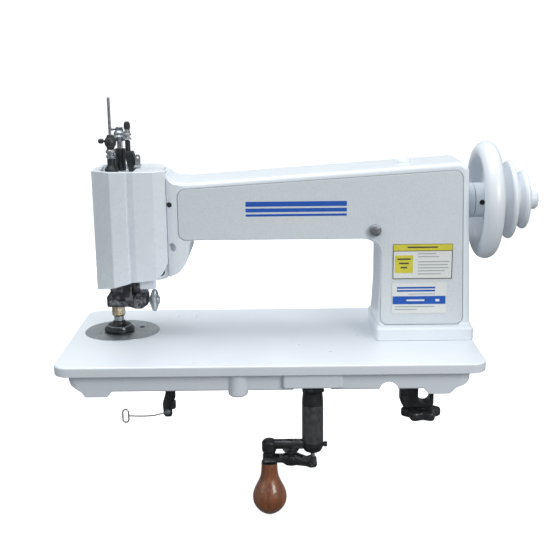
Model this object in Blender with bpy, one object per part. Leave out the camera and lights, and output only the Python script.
"""A hand-steered chain-stitch embroidery machine for leather and heavy cloth, on its own bed.

Lengths are in millimetres until solid() turns them into metres. +X points to the handwheel,
+Y to the back and +Z up. The origin is the centre of the bed, at the height of the table that
the bed's flange rests on.
"""

import math

import bmesh
import bpy
from mathutils import Matrix, Vector

MM = 0.001
GAP = 0.3

# The bed: a flanged casting that hangs in a table's cut-out.
BED_LENGTH = 500
BED_DEPTH = 248
BED_TOP = 12
BED_CORNER = 18
BED_CEILING = 4
SKIRT_LEFT = -236
SKIRT_RIGHT = 233.5
SKIRT_Y = 112
SKIRT_BOTTOM = -22
SKIRT_WALL = 6
FOOT_BOTTOM = -28.5
PLATFORM_BOTTOM = -18.5
HANGER_BOTTOM = -23
PLATE_CENTRE = (-190.5, 26)
PLATE_RADIUS = 46.5
PLATE_THICK = 2.5
PLATE_SCREW = (-167, 39)
BED_HOLES = ((-125.4, 90.2), (-101, 89.3), (35.1, -41.4), (71.4, -70.4), (107, -6.3))

# The lines that the mechanism is built on.
AXIS_Y = 25
SHAFT_Z = 177
NEEDLE_X = -194
STEER_Z = 150
BED_SHAFT_Z = -10
COLUMN_X = 190
CRANK_X = 50
CRANK_Y = -85
HANDLE_X = -2.5
PRESSER_X = -185.5
PRESSER_Y = 44
COLLAR_Z = 204.5
REGULATOR_Y = 12
REGULATOR_Z = 55.5
LEVER_X = 24
LEVER_Z = -118.5
LEVER_END = (50, -122.6)
CRANK_JOINT = -48.6
HANDLE_TOP = -123.7

# The arm casting.
ARM_FRONT = -20
ARM_BACK = 73
ARM_LEFT = -123.2
ARM_UNDERSIDE = 137
ARM_CORNER = 22
COLUMN_LEFT = 135
COLUMN_RIGHT = 248
COLUMN_TOP = 229
HEAD_LEFT = -214.5
HEAD_BOTTOM = 84
HEAD_TOP = 222
HEAD_SHELF = 216
COVER_BACK = 30.5
PLINTH_TOP = 28.5
COVER_SCREW = (128.3, 148.5)
OIL_CAP = (166, 24)
OIL_HOLE = (-120.4, 181)

# The bevel gears are equal mitre gears, so all have one shape.
TEETH = 12
GEAR_INNER = 8
GEAR_OUTER = 12
TOOTH_TIP = 1.09
TOOTH_ROOT = 0.86

# The wheel and pulley.
RIM_X = 269
RIM_RADIUS = 61.5
RIM_HALF = 12
PULLEY_X = 282
HUB_SCREW_X = 262

STROKE = 16
CRANK_THROW = STROKE / 2

# The fittings under the bed.
THREADER_X = -125.5
THREADER_Z = -65
KNOB_X = 183

AXES = {
    "X": Matrix(((0, 0, 1), (1, 0, 0), (0, 1, 0))),
    "Y": Matrix(((0, 1, 0), (0, 0, 1), (1, 0, 0))),
    "Z": Matrix.Identity(3),
}

# Each look is a colour, a roughness and how metallic it is.
WHITE_PAINT = ((0.84, 0.87, 0.9), 0.25, 0)
PANEL_PAINT = ((0.72, 0.75, 0.78), 0.4, 0)
BLACK_STEEL = ((0.045, 0.047, 0.05), 0.35, 0.8)
GREY_STEEL = ((0.2, 0.21, 0.22), 0.35, 1)
BRIGHT_STEEL = ((0.6, 0.61, 0.62), 0.25, 1)
BRASS = ((0.62, 0.5, 0.3), 0.35, 1)
WOOD = ((0.22, 0.07, 0.028), 0.2, 0)
PLASTIC = ((0.02, 0.02, 0.021), 0.3, 0)
LABEL = ((0.8, 0.81, 0.8), 0.5, 0)


def clear_scene():
    for old in list(bpy.data.objects):
        bpy.data.objects.remove(old, do_unlink=True)


def material(name, look):
    colour, roughness, metallic = look
    made = bpy.data.materials.new(name)
    made.use_nodes = True
    shader = made.node_tree.nodes["Principled BSDF"]
    shader.inputs["Base Color"].default_value = (*colour, 1)
    shader.inputs["Roughness"].default_value = roughness
    shader.inputs["Metallic"].default_value = metallic
    return made


def solid(name, shape, look, origin=(0, 0, 0)):
    """Makes the object of one sub-part, with its own origin, from a mesh in millimetres."""
    pivot = Vector(origin)
    for vertex in shape.verts:
        vertex.co = (vertex.co - pivot) * MM
    bmesh.ops.recalc_face_normals(shape, faces=shape.faces)
    mesh = bpy.data.meshes.new(name)
    shape.to_mesh(mesh)
    shape.free()
    mesh.shade_smooth()
    mesh.set_sharp_from_angle(angle=math.radians(35))
    made = bpy.data.objects.new(name, mesh)
    made.location = pivot * MM
    mesh.materials.append(material(name, look))
    bpy.context.scene.collection.objects.link(made)
    return made


def placed(plane, axis, along, centre=(0, 0)):
    """The point of a drawing in the plane across an axis, at a distance along that axis."""
    point = AXES[axis] @ Vector((plane[0] + centre[0], plane[1] + centre[1], along))
    return point


def prism(outline, axis, low, high):
    """An outline drawn across an axis and extruded along it: X takes (y, z), Y (z, x), Z (x, y)."""
    shape = bmesh.new()
    rings = [[shape.verts.new(placed(point, axis, end)) for point in outline] for end in (low, high)]
    shape.faces.new(rings[0])
    shape.faces.new(rings[1])
    bridge(shape, rings)
    return shape


def front_prism(outline, low, high):
    """An outline seen from the front, as (x, z) points, extruded from y = low to y = high."""
    return prism([(z, x) for x, z in outline], "Y", low, high)


def bridge(shape, rings):
    count = len(rings[0])
    for near, far in zip(rings, rings[1:]):
        for i in range(count):
            j = (i + 1) % count
            shape.faces.new((near[i], near[j], far[j], far[i]))


def block(low, high):
    outline = [(low[0], low[1]), (high[0], low[1]), (high[0], high[1]), (low[0], high[1])]
    return prism(outline, "Z", low[2], high[2])


def circle(radius, sides, turn=0.0, centre=(0, 0)):
    steps = [turn + math.tau * i / sides for i in range(sides)]
    return [(centre[0] + radius * math.cos(a), centre[1] + radius * math.sin(a)) for a in steps]


def turned(profile, axis, centre, sides=12, closed=False):
    """A turned piece from (radius, place along the axis) points, capped or closed on itself."""
    shape = bmesh.new()
    half_step = math.pi / sides
    rings = []
    for radius, along in profile:
        ring = circle(radius, sides, half_step)
        rings.append([shape.verts.new(placed(point, axis, along, centre)) for point in ring])
    bridge(shape, rings + rings[:1] if closed else rings)
    if not closed:
        shape.faces.new(rings[0])
        shape.faces.new(rings[-1])
    return shape


def rod(radius, axis, centre, low, high, sides=12):
    return turned([(radius, low), (radius, high)], axis, centre, sides)


def tube(outer, inner, axis, centre, low, high, sides=12):
    return turned([(outer, low), (outer, high), (inner, high), (inner, low)], axis, centre, sides, True)


def combined(operation, first, *others):
    """The Boolean of meshes in millimetres, worked out in metres and given back in millimetres."""
    base = temporary(first)
    for other in others:
        tool = temporary(other)
        boolean = base.modifiers.new("boolean", "BOOLEAN")
        boolean.operation = operation
        boolean.solver = "EXACT"
        boolean.object = tool
    graph = bpy.context.evaluated_depsgraph_get()
    shape = bmesh.new()
    shape.from_mesh(base.evaluated_get(graph).to_mesh())
    bmesh.ops.remove_doubles(shape, verts=shape.verts, dist=1e-7)
    tools = [modifier.object for modifier in base.modifiers]
    for spent in [base, *tools]:
        bpy.data.objects.remove(spent, do_unlink=True)
    bmesh.ops.scale(shape, vec=(1 / MM,) * 3, verts=shape.verts)
    return shape


def temporary(shape):
    bmesh.ops.scale(shape, vec=(MM,) * 3, verts=shape.verts)
    bmesh.ops.recalc_face_normals(shape, faces=shape.faces)
    mesh = bpy.data.meshes.new("temporary")
    shape.to_mesh(mesh)
    shape.free()
    made = bpy.data.objects.new("temporary", mesh)
    bpy.context.scene.collection.objects.link(made)
    return made


def joined(first, *others):
    return combined("UNION", first, *others)


def cut(first, *others):
    return combined("DIFFERENCE", first, *others)


def shared(first, other):
    return combined("INTERSECT", first, other)


def rounded(shape, width, segments=2, sharper_than=40):
    """Rounds the edges that are sharper than an angle."""
    limit = math.radians(sharper_than)
    bmesh.ops.recalc_face_normals(shape, faces=shape.faces)
    edges = [edge for edge in shape.edges if edge.calc_face_angle(0) > limit]
    bmesh.ops.bevel(
        shape, geom=edges, offset=width, segments=segments, profile=0.5, affect="EDGES",
        clamp_overlap=True,
    )
    return shape


def rounded_rectangle(low, high, radius, steps=4):
    """The corners' arcs of a rectangle, anticlockwise."""
    corners = (
        (high[0] - radius, high[1] - radius, 0),
        (low[0] + radius, high[1] - radius, 1),
        (low[0] + radius, low[1] + radius, 2),
        (high[0] - radius, low[1] + radius, 3),
    )
    points = []
    for x, y, quarter in corners:
        points += arc((x, y), radius, 90 * quarter, 90 * quarter + 90, steps)
    return points


def arc(centre, radius, start, end, steps=4):
    angles = [math.radians(start + (end - start) * i / steps) for i in range(steps + 1)]
    return [(centre[0] + radius * math.cos(a), centre[1] + radius * math.sin(a)) for a in angles]


def gear(apex, outward, tooth_on_line):
    """A mitre gear whose pitch cone ends at the apex. It lies on the outward side, such as "-X"."""
    sign = -1 if outward[0] == "-" else 1
    axis = outward[1]
    step = math.tau / TEETH
    start = 0 if tooth_on_line else step / 2
    corners = ((-0.34, TOOTH_ROOT), (-0.15, TOOTH_TIP), (0.15, TOOTH_TIP), (0.34, TOOTH_ROOT))
    shape = bmesh.new()
    rings = []
    for distance in (GEAR_INNER, GEAR_OUTER):
        ring = []
        for tooth in range(TEETH):
            for turn, reach in corners:
                angle = start + step * (tooth + turn)
                flat = (distance * reach * math.cos(angle), distance * reach * math.sin(angle))
                point = AXES[axis] @ Vector((*flat, sign * distance)) + Vector(apex)
                ring.append(shape.verts.new(point))
        rings.append(ring)
    shape.faces.new(rings[0])
    shape.faces.new(rings[1])
    bridge(shape, rings)
    return shape


# ---------------------------------------------------------------- bed


def bed_skirt():
    """The walls under the flange, with the feet, boss, platform and cut-outs of the front wall."""
    outer = rounded_rectangle((SKIRT_LEFT, -SKIRT_Y), (SKIRT_RIGHT, SKIRT_Y), 14, 3)
    walls = prism(outer, "Z", SKIRT_BOTTOM, BED_CEILING + 1)
    left_foot = [
        (-221, -12), (-221, -21), (-215.4, FOOT_BOTTOM), (-189.4, FOOT_BOTTOM), (-184.2, -22), (-184.2, -12)
    ]
    right_foot = [
        (178.5, -12), (178.5, -22), (184, FOOT_BOTTOM), (209, FOOT_BOTTOM), (217, -20.5), (217, -12)
    ]
    foot_depth = 22
    feet = [
        front_prism(outline, y, y + foot_depth)
        for outline in (left_foot, right_foot) for y in (-SKIRT_Y, SKIRT_Y - foot_depth)
    ]
    boss = rod(11.5, "Z", (-37.5, -107), FOOT_BOTTOM, 2, 12)
    platform = block((15, -118, PLATFORM_BOTTOM), (84, -104, 2))
    inside = block(
        (SKIRT_LEFT + SKIRT_WALL, -SKIRT_Y + SKIRT_WALL, -60),
        (SKIRT_RIGHT - SKIRT_WALL, SKIRT_Y - SKIRT_WALL, BED_CEILING + 2),
    )
    left_end = [
        (SKIRT_LEFT, -4.8), (-234.5, -9), (-231.5, -14), (-224, -19), (-218.4, -22.6), (-215.4, -29)
    ]
    left_slope = front_prism([(-262, -4.8), *left_end, (-215.4, -60), (-262, -60)], -130, 130)
    right_end = [
        (SKIRT_RIGHT, -4.8), (231.5, -13), (227, -17), (217, -20.5), (213, -24.5), (209, -29)
    ]
    right_slope = front_prism([(262, -4.8), *right_end, (209, -60), (262, -60)], -130, 130)
    crank_gap = block((27, -130, -60), (71, -80, PLATFORM_BOTTOM))
    notch = rod(11, "Y", (-24, 137.6), -130, -80, 12)
    outside = joined(walls, boss, platform, *feet)
    return cut(outside, inside, left_slope, right_slope, crank_gap, notch)


def bearing_block(low, high, bore_axis, bore_centre, bore_radius, span):
    """A bracket with a running bore through it."""
    return cut(block(low, high), rod(bore_radius, bore_axis, bore_centre, span[0], span[1], 12))


def bed_casting():
    half = (BED_LENGTH / 2, BED_DEPTH / 2)
    outline = rounded_rectangle((-half[0], -half[1]), half, BED_CORNER, 4)
    flange = rounded(prism(outline, "Z", 0, BED_TOP), 3, 2, 60)
    pocket = block(
        (SKIRT_LEFT + SKIRT_WALL, -SKIRT_Y + SKIRT_WALL, -60),
        (SKIRT_RIGHT - SKIRT_WALL, SKIRT_Y - SKIRT_WALL, BED_CEILING),
    )
    plate_seat = rod(PLATE_RADIUS + 0.4, "Z", PLATE_CENTRE, BED_TOP - PLATE_THICK - GAP, 20, 32)
    looper_bore = rod(5.5, "Z", (NEEDLE_X, AXIS_Y), -5, 20, 12)
    column_bore = rod(5, "Z", (COLUMN_X, AXIS_Y), -5, 20, 12)
    screw_bore = rod(2.6, "Z", PLATE_SCREW, 5, 20, 10)
    holes = [rod(2.2, "Z", place, 6, 20, 8) for place in BED_HOLES]
    top = cut(flange, pocket, plate_seat, looper_bore, column_bore, screw_bore, *holes)
    shaft_bearings = [
        bearing_block((x, 15, -20), (x + 9, 35, 5), "X", (AXIS_Y, BED_SHAFT_Z), 4.5, (x - 1, x + 10))
        for x in (-150, -20, 140)
    ]
    cross_line = (BED_SHAFT_Z, CRANK_X)
    cross_bearing = bearing_block(
        (CRANK_X - 10, -35, -20), (CRANK_X + 10, -26, 5), "Y", cross_line, 4.5, (-40, -20)
    )
    rear_pillar = bearing_block(
        (CRANK_X - 8, -67, HANGER_BOTTOM), (CRANK_X + 8, -60, 5), "Y", cross_line, 4.5, (-70, -50)
    )
    front_pillar = block((CRANK_X - 8, -104.5, HANGER_BOTTOM), (CRANK_X + 8, -99.5, 5))
    pillars = [rear_pillar, front_pillar]
    body = joined(top, bed_skirt(), *shaft_bearings, cross_bearing, *pillars)
    solid("bed_casting", body, WHITE_PAINT)


def needle_plate():
    top = BED_TOP + 0.4
    disc = rod(PLATE_RADIUS, "Z", PLATE_CENTRE, top - PLATE_THICK, top, 32)
    needle_hole = rod(2.6, "Z", (NEEDLE_X, AXIS_Y), 0, 20, 10)
    screw_hole = rod(3.6, "Z", PLATE_SCREW, 0, 20, 10)
    solid("needle_plate", cut(disc, needle_hole, screw_hole), GREY_STEEL, (*PLATE_CENTRE, top))
    screw = turned([(2.2, 6), (2.2, 10.2), (3.2, 10.6), (3.2, 12.7), (2.6, 13)], "Z", PLATE_SCREW, 10)
    solid("needle_plate_screw", screw, BLACK_STEEL, (*PLATE_SCREW, top))


# ---------------------------------------------------------------- arm, column and head


def arm_outline():
    """The arm and column from the front, from the neck's foot round by the top."""
    neck = [(ARM_LEFT, 92), (ARM_LEFT, 211), (-113, 208)]
    top = [(-100, 207), (230, COLUMN_TOP)]
    right = arc((229, COLUMN_TOP - 11), 11, 80, 0, 3) + [(COLUMN_RIGHT, BED_TOP + GAP)]
    left = [(131, BED_TOP + GAP), (133, 40), (COLUMN_LEFT, 75)]
    inner_corner = arc((COLUMN_LEFT - 20, ARM_UNDERSIDE - 20), 20, 0, 90, 4)
    underside = [(-96.5, ARM_UNDERSIDE), (-99, 113), (-107.5, 100)]
    return neck + top + right + left + inner_corner + underside


def cover_outline(inset=0.0):
    """The side cover from the front: an L over the arm and the column, with rounded corners."""
    low = 29.5 + inset
    right = [(238 - inset, low), (232.5 - inset, 220.5 - inset)]
    left = [(-109.5 + inset, 199.5 - inset), (-109.5 + inset, 138.5 + inset)]
    under = (136.5 + inset, 138.5 + inset)
    sharp = [(under[0], low), right[0], right[1], left[0], left[1], (under[0] - 21, under[1])]
    inner_corner = arc((under[0] - 21, under[1] - 21), 21, 90, 0, 4)[1:]
    softened = []
    for i in range(5):
        softened += softened_corner(sharp[i - 1] if i else inner_corner[-1], sharp[i], sharp[i + 1], 7)
    return softened + [sharp[5]] + inner_corner


def softened_corner(before, corner, after, radius, steps=3):
    """Points on a curve that leaves one side and joins the next, a radius away from the corner."""
    here = Vector(corner)
    start = here + (Vector(before) - here).normalized() * radius
    end = here + (Vector(after) - here).normalized() * radius
    points = []
    for i in range(steps + 1):
        t = i / steps
        point = start * (1 - t) ** 2 + here * (2 * t * (1 - t)) + end * t**2
        points.append((point.x, point.y))
    return points


def head_outline():
    """The rear of the head from the front, running down into the arm's top at its right."""
    left = [(HEAD_LEFT, 92), (HEAD_LEFT, 217), (HEAD_LEFT + 5, HEAD_TOP)]
    slope = [(-141, HEAD_TOP), (-131, 219.5), (-119, 211), (-113, 208)]
    right = [(-100, 206), (-100, 115), (-109.5, 100), (-120, 92), (-134, 86.5), (-150, HEAD_BOTTOM)]
    return left + slope + right + [(-204, HEAD_BOTTOM)]


def arm_casting():
    plan = rounded_back_plan(HEAD_LEFT, COLUMN_RIGHT + 1, ARM_FRONT)
    arm = rounded(front_prism(arm_outline(), ARM_FRONT, ARM_BACK), 5, 1, 55)
    head_rear = rounded(front_prism(head_outline(), COVER_BACK + GAP, ARM_BACK), 4, 1, 55)
    frame_back = COVER_BACK + 8
    frame_plan = [
        (-208, frame_back), (-208, -0.5), (-197, -12), (-135, -12), (-127.5, -4), (-127.5, frame_back)
    ]
    head_frame = prism(frame_plan, "Z", 87, HEAD_SHELF)
    lip = block((-161, -11.5, 75), (-141, -3, 91))
    sill_outline = [
        (-139, 87.5), (-139, 91), (-132, 96.5), (-127.2, 105.5), (-126.6, 103.5), (-124, 108),
        (-119, 109), (-117, 97), (-126, 90.3),
    ]
    sill = front_prism(sill_outline, -10.9, 5)
    step_outline = [(-128, 92), (-128, 218.5), (-119, 211), (-110, 206), (-110, 101), (-118, 94)]
    head_step = front_prism(step_outline, -5, 60)
    shaft_boss = rod(22, "X", (AXIS_Y, SHAFT_Z), 235, 254, 16)
    body = joined(arm, head_rear, head_frame, lip, sill, head_step)
    body = shared(body, prism(plan, "Z", 0, 260))
    plinth = rounded(block((130, -33, BED_TOP + GAP), (250, 79, PLINTH_TOP)), 4, 2, 60)
    screw_boss = rod(7, "Y", (COVER_SCREW[1], COVER_SCREW[0]), -17.8, 3, 10)
    boss_foot = block((COVER_SCREW[0] - 7, -17.8, 136), (COVER_SCREW[0] + 7, 3, COVER_SCREW[1]))
    web = block((-60, 0, 140), (-52, 70, 209))
    column_web = block((152, 8, 128), (160, 70, 190))
    shaft_foot = block((COLUMN_X - 9, 14, 96), (COLUMN_X + 9, 70, 106))
    body = cut(joined(body, plinth, shaft_boss), *arm_hollows())
    body = joined(body, web, column_web, shaft_foot, screw_boss, boss_foot)
    neck_line = [(-109.8, ARM_FRONT), (-117, -18.6), (-124, -14.2), (-130, -14.2)]
    neck_hollow = prism([(-130, -40), (-109.8, -40), *neck_line], "Z", 60, 240)
    solid("arm_casting", cut(body, neck_hollow, *arm_bores()), WHITE_PAINT)


def rounded_back_plan(left, right, front):
    back_right = arc((right - ARM_CORNER, ARM_BACK - ARM_CORNER), ARM_CORNER, 0, 90, 4)
    back_left = arc((left + ARM_CORNER, ARM_BACK - ARM_CORNER), ARM_CORNER, 90, 180, 4)
    return [(left, front), (right, front)] + back_right + back_left


def arm_hollows():
    """The arm's and column's hollow behind the side cover, the cover's seat and the head's hollow."""
    hollow_back = ARM_BACK - 7
    behind = front_prism(cover_outline(5), -40, hollow_back)
    seat = front_prism(cover_outline(-0.4), -40, ARM_FRONT + 2.1)
    head = front_prism([(-203, 92), (-203, 210), (-129, 210), (-129, 92)], -40, hollow_back)
    top_notch = block((-206, 0, HEAD_SHELF), (-160, 54, 240))
    gear_pocket = rod(14.4, "Z", (NEEDLE_X, AXIS_Y), STEER_Z - GEAR_OUTER - 2, STEER_Z - 4, 20)
    return behind, seat, head, top_notch, gear_pocket


def arm_bores():
    shaft = (AXIS_Y, SHAFT_Z)
    needle = (NEEDLE_X, AXIS_Y)
    presser = (PRESSER_X, PRESSER_Y)
    return (
        rod(9.4, "X", shaft, -135, -98, 14),
        rod(7.2, "X", shaft, -100, 180, 12),
        rod(10.4, "X", shaft, 222, 260, 14),
        rod(4.5, "X", (AXIS_Y, STEER_Z), -135, 170, 12),
        rod(9.5, "Z", needle, 70, 95, 14),
        rod(3.8, "Z", needle, 200, 230, 12),
        rod(4.1, "Z", presser, 70, 95, 12),
        rod(4.1, "Z", presser, 200, 230, 12),
        rod(5, "Z", (COLUMN_X, AXIS_Y), 5, 120, 12),
        rod(3.5, "Y", (COVER_SCREW[1], COVER_SCREW[0]), -30, 0, 10),
        rod(8.4, "Z", OIL_CAP, 216, 240, 12),
        rod(3.3, "Y", (OIL_HOLE[1], OIL_HOLE[0]), -30, -6, 10),
    )


def side_cover():
    front = ARM_FRONT - 0.4
    plate = front_prism(cover_outline(), front, front + 2.2)
    screw_hole = rod(3.6, "Y", (COVER_SCREW[1], COVER_SCREW[0]), -30, 0, 10)
    solid("side_cover", cut(plate, screw_hole), PANEL_PAINT, (0, front, 0))
    centre = (COVER_SCREW[1], COVER_SCREW[0])
    knob_back = front - GAP
    profile = [
        (6.2, knob_back - 7), (7.4, knob_back - 6), (7.4, knob_back), (2.9, knob_back), (2.9, -2)
    ]
    screw = turned(profile, "Y", centre, 12)
    solid("cover_thumb_screw", screw, BLACK_STEEL, (COVER_SCREW[0], knob_back, COVER_SCREW[1]))
    for name, low, high in (
        ("instruction_plate", (150, 87), (223.5, 131.5)),
        ("data_plate", (150, 44), (217, 82.5)),
    ):
        face = block((low[0], front - GAP - 0.7, low[1]), (high[0], front - GAP, high[1]))
        solid(name, face, LABEL, (low[0], front - GAP, low[1]))


def face_cover():
    """The folded cover round the front of the head, with a grooved face and a notched roof."""
    left = HEAD_LEFT
    face = -23
    groove_depth = 3.6
    groove = [(-171.3, face), (-169.8, face + groove_depth), (-162, face)]
    front = [(left, COVER_BACK), (left, -3), (-190, face), *groove, (-138, face), (-123.5, -13)]
    outer = front + [(-123.5, 28), (-126, COVER_BACK)]
    wall = 2.4
    inner_groove = [(-173, face + wall), (-171.2, face + groove_depth + wall), (-162.2, face + wall)]
    inner = [(left + wall, 40), (left + wall, -2), (-189, face + wall), *inner_groove]
    inner += [(-138.8, face + wall), (-125.7, -11.2), (-125.7, 40)]
    shell = prism(outer, "Z", 70, HEAD_TOP)
    hollow = prism(inner, "Z", 60, HEAD_TOP - wall)
    right_opening = block((-127, -5.8, 60), (-110, 40, 300))
    notch_plan = [(-206, 40), (-206, -5.2), (-191, -19), (-161.5, -19), (-161.5, 40)]
    top_notch = prism(notch_plan, "Z", HEAD_TOP - wall - 1, 240)
    bottom_edge = [(-240, 72.8), (left, 73.5), (-198, 77.6), (-168, 86), (-152, 88), (-140, 89.2)]
    bottom_edge += [(-131, 96), (-123.5, 110), (-100, 110)]
    below = front_prism([*bottom_edge, (-100, 50), (-240, 50)], -40, 60)
    shape = cut(shell, hollow, right_opening, top_notch, below)
    solid("face_cover", shape, WHITE_PAINT, (left, 0, HEAD_TOP))


def arm_oil_cap():
    cap = turned([(8, 219), (8, 228.2), (7, 229)], "Z", OIL_CAP, 14)
    solid("arm_oil_cap", cap, WHITE_PAINT, (*OIL_CAP, 229))


# ---------------------------------------------------------------- main shaft and wheel


def main_shaft():
    centre = (AXIS_Y, SHAFT_Z)
    pivot = (0, AXIS_Y, SHAFT_Z)
    solid("main_shaft", rod(6, "X", centre, -173.7, 331, 12), BRIGHT_STEEL, pivot)
    solid("front_bush", tube(9, 6.4, "X", centre, -128.7, -104.8), BRASS, pivot)
    solid("rear_bush", tube(10, 6.4, "X", centre, 240, 253.7), BRASS, pivot)
    disc = turned([(13, -178), (13, -172), (10, -172), (10, -164)], "X", centre, 14)
    shaft_bore = rod(6.4, "X", centre, -174, -160)
    pin = rod(2.5, "X", (AXIS_Y, SHAFT_Z + CRANK_THROW), -183.2, -175, 10)
    solid("crank_disc", joined(cut(disc, shaft_bore), pin), GREY_STEEL, pivot)


def connecting_rod():
    """The rod that rises from the crank pin to the needle-bar collar's stud."""
    pin = (AXIS_Y, SHAFT_Z + CRANK_THROW)
    low, high = -182.9, -178.9
    eyes = [rod(5, "X", (pin[0], z), low, high, 12) for z in (pin[1], COLLAR_Z)]
    shank = block((low, AXIS_Y - 2.5, pin[1]), (high, AXIS_Y + 2.5, COLLAR_Z))
    pin_bore = rod(2.9, "X", pin, -190, -170, 10)
    stud_bore = rod(2.9, "X", (AXIS_Y, COLLAR_Z), -190, -170, 10)
    shape = cut(joined(shank, *eyes), pin_bore, stud_bore)
    solid("connecting_rod", shape, BRIGHT_STEEL, (high, *pin))


def rim_profile():
    """The handwheel's section as (radius, x): hub, dished web and a fat round rim."""
    hub_left, hub_right = 254.3, PULLEY_X - GAP
    hub = [(6.5, hub_left), (21.5, hub_left), (21.5, 266), (25, 270)]
    web_left = [(49, 273)]
    rim = [
        (RIM_RADIUS + (RIM_HALF - 0.5) * math.cos(a), RIM_X + RIM_HALF * math.sin(a))
        for a in (math.radians(200 + 28 * i) for i in range(12))
    ]
    web_right = [(48, 278), (30, 278), (30, hub_right), (6.5, hub_right)]
    return hub + web_left + rim + web_right


def handwheel():
    centre = (AXIS_Y, SHAFT_Z)
    pivot = (RIM_X, AXIS_Y, SHAFT_Z)
    wheel = turned(rim_profile(), "X", centre, 28, True)
    screw_hole = rod(3.5, "Y", (SHAFT_Z, HUB_SCREW_X), AXIS_Y - 30, AXIS_Y - 12, 10)
    solid("handwheel", cut(wheel, screw_hole), WHITE_PAINT, pivot)
    screw = rod(3.1, "Y", (SHAFT_Z, HUB_SCREW_X), AXIS_Y - 20.6, AXIS_Y - 12.4, 10)
    solid("hub_screw", screw, BLACK_STEEL, (HUB_SCREW_X, AXIS_Y, SHAFT_Z))
    steps = [
        (6.5, PULLEY_X), (40, PULLEY_X), (33, 286), (33, 289),
        (47.5, 294.5), (49, 296.5), (49, 299), (47.5, 301), (27, 305), (27, 308),
        (35.5, 312.5), (37, 314.5), (37, 317), (35.5, 319), (24, 321.5), (14, 321.5), (14, 325), (6.5, 325),
    ]
    solid("step_pulley", turned(steps, "X", centre, 24, True), WHITE_PAINT, (PULLEY_X, AXIS_Y, SHAFT_Z))
    nut = turned([(12, 325.3), (12, 332), (10, 334.5)], "X", centre, 16)
    nut_bore = rod(6.4, "X", centre, 320, 331.4)
    solid("wheel_nut", cut(nut, nut_bore), WHITE_PAINT, (325.3, AXIS_Y, SHAFT_Z))


# ---------------------------------------------------------------- needle, foot and presser


def needle_drive():
    centre = (NEEDLE_X, AXIS_Y)
    collar = tube(6.8, 3.6, "Z", centre, COLLAR_Z - 5, COLLAR_Z + 5, 12)
    stud = rod(2.4, "X", (AXIS_Y, COLLAR_Z), NEEDLE_X + 5.8, -183.4, 10)
    solid("needle_bar_collar", joined(collar, stud), GREY_STEEL, (*centre, COLLAR_Z))
    bar = turned([(3.2, 46), (3.2, 216), (1.75, 218), (1.75, 307), (1.2, 308)], "Z", centre, 12)
    solid("needle_bar", bar, BRIGHT_STEEL, (*centre, COLLAR_Z))
    needle = turned([(0.3, 24), (0.8, 27), (0.8, 38), (1.3, 39), (1.3, 45.7)], "Z", centre, 6)
    solid("needle", needle, BRIGHT_STEEL, (*centre, COLLAR_Z))
    sleeve = tube(9, 6.3, "Z", centre, 83.5, STEER_Z - GEAR_OUTER + 1, 14)
    toothed = cut(gear((NEEDLE_X, AXIS_Y, STEER_Z), "-Z", False), rod(4.6, "Z", centre, 100, 160, 12))
    solid("head_rotor", joined(sleeve, toothed), GREY_STEEL, (*centre, STEER_Z))


def presser():
    centre = (PRESSER_X, PRESSER_Y)
    solid("presser_bar", rod(3.5, "Z", centre, 50, 262, 12), BRIGHT_STEEL, (*centre, 50))
    bracket = lower_bracket()
    solid("lower_bracket", bracket, BLACK_STEEL, (*centre, 50))
    axis = (REGULATOR_Y, REGULATOR_Z)
    profile = [
        (3, -168), (3, -151.5), (6, -151.5), (6, -150), (9, -150), (13, -148.6), (14.5, -146.6),
        (14.5, -144.9), (13, -142.9), (9, -141.5), (5, -141.5), (5, -139.5),
    ]
    solid("regulator_knob", turned(profile, "X", axis, 16), GREY_STEEL, (-150, *axis))


def lower_bracket():
    outline = [
        (-206, 46.8), (-206, 60), (-201, 67), (-201, 76), (-162, 76), (-158, 60), (-162, 47)
    ]
    body = rounded(front_prism(outline, 10, 54), 1.5, 1, 30)
    ear = block((-172, REGULATOR_Y - 9, 46), (-153, REGULATOR_Y + 9, 66))
    window = front_prism([(-174, 62), (-174, 90), (-167, 90), (-167, 62)], -10, 20)
    foot_bore = rod(5.9, "Z", (NEEDLE_X, AXIS_Y), 30, 100, 14)
    bar_bore = rod(3.9, "Z", (PRESSER_X, PRESSER_Y), 48.5, 100, 12)
    knob_bore = rod(3.4, "X", (REGULATOR_Y, REGULATOR_Z), -169, -140, 10)
    return cut(joined(body, ear), window, foot_bore, bar_bore, knob_bore)


def foot():
    centre = (NEEDLE_X, AXIS_Y)
    stem = turned(
        [(4.1, 78.5), (4.1, 26), (6.2, 26), (6.2, 32.2), (5.5, 32.2), (5.5, 78.5)], "Z", centre, 14, True
    )
    solid("foot_stem", stem, GREY_STEEL, (*centre, 30))
    nut = turned(
        [(5.9, 45.5), (5.9, 32.5), (7.4, 32.5), (8.6, 34.5), (8.6, 44), (8, 45.5)], "Z", centre, 14, True
    )
    solid("foot_nut", nut, BRASS, (*centre, 32.5))
    ring = [
        (2.7, 25.7), (2.7, 13.2), (18, 13.2), (19.2, 14.2), (19, 16.4), (16.2, 18.2), (15.8, 20.6),
        (12.5, 20.2), (9, 22.4), (7.4, 25.7),
    ]
    cone = turned(ring, "Z", centre, 20, True)
    turn = math.radians(-62)
    outward = Vector((math.cos(turn), math.sin(turn), 0))
    flat = (NEEDLE_X + 15.4 * outward.x, AXIS_Y + 15.4 * outward.y)
    pocket = rod(2.6, "Z", flat, 15.2, 40, 8)
    solid("feed_foot", cut(cone, pocket), BLACK_STEEL, (*centre, 13.2))
    screw = turned([(2.2, 15.5), (2.2, 19.6), (1.6, 20.2)], "Z", flat, 8)
    solid("foot_screw", screw, BRIGHT_STEEL, (*flat, 15.5))


# ---------------------------------------------------------------- pieces on top of the head


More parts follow.
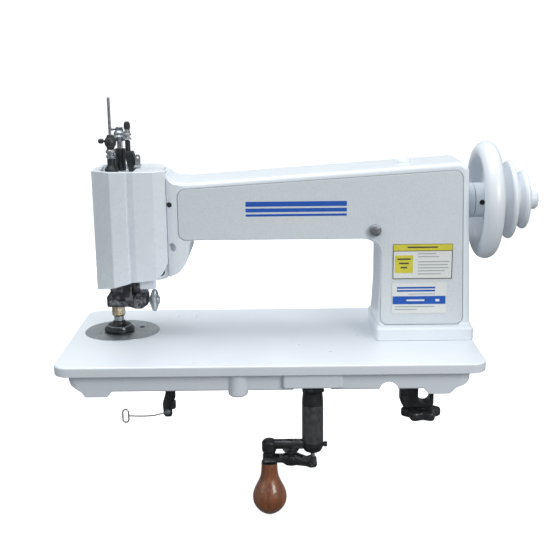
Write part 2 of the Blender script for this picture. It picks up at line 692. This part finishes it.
def head_top_pieces():
    floor = HEAD_SHELF + GAP
    needle = (NEEDLE_X, AXIS_Y)
    guide = [
        (2.3, 232.8), (2.3, floor + 3), (3.6, floor), (8.5, floor), (8.5, floor + 4), (5, floor + 9),
        (5, 232.8),
    ]
    solid("needle_bar_guide", turned(guide, "Z", needle, 14, True), BLACK_STEEL, (*needle, floor))
    rings = [
        (2.3, 244.3), (2.3, 233.1), (5, 233.1), (6, 234.5), (6, 236.5), (4.6, 237.5), (4.6, 239),
        (6.3, 240), (6.3, 242.5), (5, 244.3),
    ]
    solid("spring_collar", turned(rings, "Z", needle, 14, True), GREY_STEEL, (*needle, 233))
    ball = [(2.3, 262), (2.3, 244.6), (4.4, 244.6)]
    for angle in (-45, -22.5, 0, 22.5, 45):
        a = math.radians(angle)
        ball.append((7.2 * math.cos(a), 253 + 8 * math.sin(a)))
    ball.append((3.8, 262))
    knob = cut(turned(ball, "Z", needle, 14, True), rod(1.9, "X", (AXIS_Y, 254.5), -210, -197.4, 8))
    solid("adjusting_knob", knob, PLASTIC, (*needle, 244.6))
    wing = [(1.5, -197.8), (1.5, -202.5), (3.1, -203.5), (3.1, -207), (2, -208.8)]
    wing = turned(wing, "X", (AXIS_Y, 254.5), 10)
    solid("knob_screw", wing, PLASTIC, (-202.5, AXIS_Y, 254.5))
    presser_axis = (PRESSER_X, PRESSER_Y)
    sleeve = tube(6.5, 3.9, "Z", presser_axis, floor, 243.4, 14)
    solid("presser_sleeve", sleeve, BLACK_STEEL, (*presser_axis, floor))
    cap = [(8.3, 252.8), (8.8, 254), (8.8, 258), (7, 261), (7, 263), (4.4, 267), (4.4, 270)]
    cap = cut(turned(cap, "Z", presser_axis, 14), rod(3.9, "Z", presser_axis, 250, 262.4, 12))
    cross = rod(1.7, "X", (PRESSER_Y, 267.5), PRESSER_X - 11, PRESSER_X + 5, 8)
    solid("presser_cap", joined(cap, cross), BRIGHT_STEEL, (*presser_axis, 252.8))


def tension_pieces():
    floor = HEAD_SHELF + GAP
    place = (-173.5, 30)
    post = turned([(3.2, 240), (3.2, 254), (1.4, 255), (1.4, 274)], "Z", place, 10)
    stand = [(-176, 241.5), (-176, 232), (-173, floor), (-163, floor), (-164, 231), (-167, 241.5)]
    bracket = joined(front_prism(stand, 24, 36), post)
    solid("tension_post", bracket, BLACK_STEEL, (*place, floor))
    discs = [(1.8, 268), (1.8, 255.5), (4.6, 255.5), (5.2, 257), (2.9, 258.5), (2.9, 260), (5.2, 261.5)]
    discs += [(4.6, 263), (3.4, 263.5), (3.4, 268)]
    solid("tension_discs", turned(discs, "Z", place, 12, True), BRIGHT_STEEL, (*place, 255.5))
    nut = turned([(3.4, 268.3), (4, 270), (4, 274.5), (2.6, 277.8)], "Z", place, 12)
    nut = cut(nut, rod(1.8, "Z", place, 250, 274.5, 8))
    solid("tension_nut", nut, PLASTIC, (*place, 268.3))
    thread_guide()


def thread_guide():
    """An upright tongue with an eye, on a small foot on the head's roof."""
    x, y, floor = -160, 16, HEAD_TOP + GAP
    foot = block((x - 5, y - 4, floor), (x + 3.4, y + 4, floor + 3))
    tongue = [
        (x - 3.2, floor + 1), (x - 3.2, 236), *arc((x, 236), 3.2, 150, 30, 4),
        (x + 3.2, 236), (x + 3.2, floor + 1),
    ]
    eye = rod(1.3, "Y", (235, x), y - 5, y + 5, 8)
    shape = cut(joined(foot, front_prism(tongue, y - 1, y + 1)), eye)
    solid("thread_guide", shape, BRIGHT_STEEL, (x, y, floor))


def wire(route, radius, sides=6, closed=False):
    """A round wire along points, its sections turned with it so that it never twists."""
    shape = bmesh.new()
    rings = []
    count = len(route)
    side = Vector((0, 1, 0.01)).normalized()
    for i, point in enumerate(route):
        before = route[i - 1] if closed or i else point
        after = route[(i + 1) % count] if closed or i < count - 1 else point
        along = (after - before).normalized()
        side = (side - along * side.dot(along)).normalized()
        up = along.cross(side)
        ring = [point + side * x + up * y for x, y in circle(radius, sides)]
        rings.append([shape.verts.new(corner) for corner in ring])
    bridge(shape, rings + rings[:1] if closed else rings)
    if not closed:
        shape.faces.new(rings[0])
        shape.faces.new(rings[-1])
    return shape


# ---------------------------------------------------------------- steering train


def geared_shaft(name, axis, centre, low, high, *gears):
    """A shaft with its bevel gears pinned to it."""
    shape = joined(rod(4, axis, centre, low, high, 12), *gears)
    solid(name, shape, GREY_STEEL, placed((0, 0), axis, (low + high) / 2, centre))


def steering_train():
    bed_line = (AXIS_Y, BED_SHAFT_Z)
    left, middle, right = ((x, AXIS_Y, BED_SHAFT_Z) for x in (NEEDLE_X, CRANK_X, COLUMN_X))
    top = (COLUMN_X, AXIS_Y, STEER_Z)
    head = (NEEDLE_X, AXIS_Y, STEER_Z)
    crank = (CRANK_X, CRANK_Y, BED_SHAFT_Z)
    gear_near = GEAR_INNER + 0.1
    geared_shaft(
        "bed_shaft", "X", bed_line, NEEDLE_X + gear_near, COLUMN_X - gear_near,
        gear(left, "+X", True), gear(middle, "-X", False), gear(right, "-X", True),
    )
    geared_shaft(
        "cross_shaft", "Y", (BED_SHAFT_Z, CRANK_X), CRANK_Y + gear_near, AXIS_Y - gear_near,
        gear(crank, "+Y", False), gear(middle, "-Y", True),
    )
    geared_shaft(
        "column_shaft", "Z", (COLUMN_X, AXIS_Y), BED_SHAFT_Z + gear_near, STEER_Z - gear_near,
        gear(right, "+Z", False), gear(top, "-Z", True),
    )
    geared_shaft(
        "steering_shaft", "X", (AXIS_Y, STEER_Z), NEEDLE_X + gear_near, COLUMN_X - gear_near,
        gear(top, "-X", False), gear(head, "+X", True),
    )
    needle = (NEEDLE_X, AXIS_Y)
    looper = joined(rod(5, "Z", needle, BED_SHAFT_Z + gear_near, 8.8, 12), gear(left, "+Z", False))
    solid("looper", cut(looper, rod(1.8, "Z", needle, -20, 20, 8)), BRIGHT_STEEL, (*needle, 0))


# ---------------------------------------------------------------- crank and handle


def crank():
    centre = (CRANK_X, CRANK_Y)
    pivot = (*centre, -52)
    barrel = rod(12.8, "Z", centre, CRANK_JOINT + GAP, -26, 20)
    flange = block((CRANK_X - 12.8, -106, -27.2), (CRANK_X + 12.8, -59, HANGER_BOTTOM - GAP))
    bearing = cut(joined(flange, barrel), rod(6.5, "Z", centre, -60, -20, 12))
    solid("crank_bearing", bearing, BLACK_STEEL, pivot)
    spindle = rod(6, "Z", centre, -79.5, BED_SHAFT_Z - GEAR_INNER - 0.1, 12)
    toothed = gear((*centre, BED_SHAFT_Z), "-Z", True)
    solid("crank_spindle", joined(spindle, toothed), BRIGHT_STEEL, pivot)
    socket = [(12.8, -96.2), (12.8, CRANK_JOINT - 1.8), (12, CRANK_JOINT), (6.3, CRANK_JOINT)]
    socket += [(6.3, -80), (3, -80), (3, -96.2)]
    solid("crank_tube", turned(socket, "Z", centre, 20, True), BLACK_STEEL, pivot)
    solid("crank_arm", crank_arm(), BLACK_STEEL, (*centre, -99))
    screw = turned([(2.6, 61), (2.6, 63.4), (3.2, 63.7), (3.2, 67.5)], "X", (CRANK_Y, -100.5), 10)
    solid("crank_screw", screw, BLACK_STEEL, (64, CRANK_Y, -100.5))
    lift = turned([(2.5, -82.8), (2.5, -116.2), (1.2, -117)], "Z", centre, 10)
    solid("lift_rod", lift, BRIGHT_STEEL, (*centre, -82))
    lower_lever()


def crank_arm():
    """The hub under the tube, the bar to the handle's socket, and the lug that carries the lever."""
    centre = (CRANK_X, CRANK_Y)
    hub = turned([(12.8, -96.5), (12.8, -102), (10.5, -107.5), (6, -110)], "Z", centre, 20)
    bar = rod(6.1, "X", (CRANK_Y, -100), HANDLE_X, CRANK_X, 12)
    socket = turned([(6.2, -94), (8.8, -96.5), (8.8, -108), (7.4, -109.7)], "Z", (HANDLE_X, CRANK_Y), 14)
    lug_outline = [
        (LEVER_X - 11, -100), (LEVER_X - 10, -108), (LEVER_X - 3.5, -113), (LEVER_X - 3.5, -122),
        (LEVER_X + 3.5, -122), (LEVER_X + 3.5, -113), (LEVER_X + 9, -108), (LEVER_X + 10, -100),
    ]
    lug = front_prism(lug_outline, CRANK_Y - 2.6, CRANK_Y + 2.6)
    pin = rod(2.6, "Y", (LEVER_Z, LEVER_X), CRANK_Y - 10, CRANK_Y + 10, 10)
    shape = joined(bar, hub, socket, lug, pin)
    rod_bore = rod(3, "Z", centre, -130, -90, 10)
    spindle_bore = rod(3.8, "Z", (HANDLE_X, CRANK_Y), -130, -97, 12)
    screw_bore = rod(2.9, "X", (CRANK_Y, -100.5), 60.5, 90, 10)
    under_tube = rod(13.2, "Z", centre, -96.5, -90, 20)
    return cut(shape, under_tube, rod_bore, spindle_bore, screw_bore)


def lower_lever():
    """The forked lever under the bar: its left fork carries the handle's collar."""
    end_x, end_z = LEVER_END
    outline = [
        (HANDLE_X - 8, -121.2), (HANDLE_X - 8, -114.4), (14, -115.5), (19, -113.5), (29, -113.5),
        (43, -119), (end_x, end_z + 5), (end_x + 5.5, end_z + 2), (end_x + 5.5, end_z - 3),
        (end_x, end_z - 6), (43, -126.5), (29, -124.5), (19, -124.5), (14, -121.2),
    ]
    plate = front_prism(outline, CRANK_Y - 8.6, CRANK_Y + 8.6)
    lug_slot = block((HANDLE_X - 20, CRANK_Y - 3.2, -140), (LEVER_X + 14, CRANK_Y + 3.2, -100))
    collar_slot = block((HANDLE_X - 20, CRANK_Y - 5.6, -140), (HANDLE_X + 12, CRANK_Y + 5.6, -100))
    pin_bore = rod(2.95, "Y", (LEVER_Z, LEVER_X), -110, -60, 10)
    shape = cut(plate, lug_slot, collar_slot, pin_bore)
    solid("lower_lever", shape, BLACK_STEEL, (LEVER_X, CRANK_Y, LEVER_Z))


def handle():
    centre = (HANDLE_X, CRANK_Y)
    solid("handle_spindle", rod(3.4, "Z", centre, -184, -97.4, 12), BRIGHT_STEEL, (*centre, -110))
    collar = [(3.8, -110.2), (3.8, -123.4), (9.6, -123.4), (9.6, -122.2), (5.1, -122.2), (5.1, -112)]
    collar += [(7.4, -112), (7.4, -110.2)]
    solid("handle_collar", turned(collar, "Z", centre, 14, True), BLACK_STEEL, (*centre, -110))
    outline = [
        (9.9, HANDLE_TOP), (9.9, -128), (10.2, -134), (11, -141), (14.2, -148.5), (18.2, -156.5),
        (20.4, -163), (20.9, -168), (20.2, -174), (17.8, -179.5), (13.6, -184.6), (8.2, -188.6), (3, -190.6),
    ]
    bore = rod(3.8, "Z", centre, -187.6, -120)
    shape = cut(turned(outline, "Z", centre, 20), bore)
    solid("wooden_handle", shape, WOOD, (*centre, HANDLE_TOP))


# ---------------------------------------------------------------- fittings under the bed


def threader():
    """The bracket under the needle's side of the bed and its swinging wire hook."""
    front, back = -61.5, -58.5
    outline = [
        (-128, 3.7), (-128, -42), (-132, -56), (-131, -70), (-129, -73), (-122, -73), (-120.5, -70),
        (-120.5, -58), (-116, -48), (-115, 3.7),
    ]
    strip = rounded(front_prism(outline, front, back), 0.8, 1, 30)
    pin_bore = rod(1.9, "Y", (THREADER_Z, THREADER_X), -80, -40, 8)
    solid("threader_bracket", cut(strip, pin_bore), BLACK_STEEL, (THREADER_X, back, 0))
    eye = tube(3.4, 1.2, "Y", (THREADER_Z, THREADER_X), -65.4, -62.4, 12)
    wire_y = -63.9
    arm = [
        Vector((THREADER_X - 2.2, wire_y, THREADER_Z - 1)), Vector((-137, wire_y, -68.7)),
        Vector((-145, wire_y, -70.2)), Vector((-158, wire_y, -70.7)), Vector((-173, wire_y, -70.2)),
    ]
    ends = arc((0, 4.6), 3.6, 0, 180, 6) + arc((0, -4.6), 3.6, 180, 360, 6)
    ring = [Vector((-177 + dx, wire_y, -70.2 + dz)) for dx, dz in ends]
    hook = joined(eye, wire(arm, 0.85, 8), wire(ring, 0.85, 8, True))
    solid("threader_hook", hook, BRIGHT_STEEL, (THREADER_X, wire_y, THREADER_Z))


def clamp():
    """A two-legged clamp for an accessory rod, tightened from below by a lobed knob."""
    y = -60
    outside = [(157, 3.7), (157, -54), (161, -62), (196, -62), (197.5, -57), (197.5, 3.7)]
    mouth = [
        (193, 3.7), (193, -50), (189.5, -54.5), (186, -55.7), (182.2, -54.5), (178.7, -50), (178.7, 3.7)
    ]
    bracket = front_prism(outside + mouth, y - 8, y + 8)
    screw_bore = rod(3.4, "Z", (KNOB_X, y), -70, -57.5, 10)
    solid("clamp_bracket", cut(bracket, screw_bore), BLACK_STEEL, (168, y, 0))
    lobes = []
    for i in range(36):
        a = math.tau * i / 36
        reach = 21.5 + 2.8 * math.cos(6 * a)
        lobes.append((KNOB_X + reach * math.cos(a), y + reach * math.sin(a)))
    star = prism(lobes, "Z", -75.2, -64)
    neck = turned([(9, -66), (9, -64.5), (7, -62.3), (3, -62.3), (3, -58)], "Z", (KNOB_X, y), 12)
    solid("star_knob", joined(star, neck), PLASTIC, (KNOB_X, y, -62.3))


def build():
    clear_scene()
    bed_casting()
    needle_plate()
    arm_casting()
    side_cover()
    face_cover()
    arm_oil_cap()
    main_shaft()
    connecting_rod()
    handwheel()
    needle_drive()
    presser()
    foot()
    head_top_pieces()
    tension_pieces()
    steering_train()
    crank()
    handle()
    threader()
    clamp()


build()
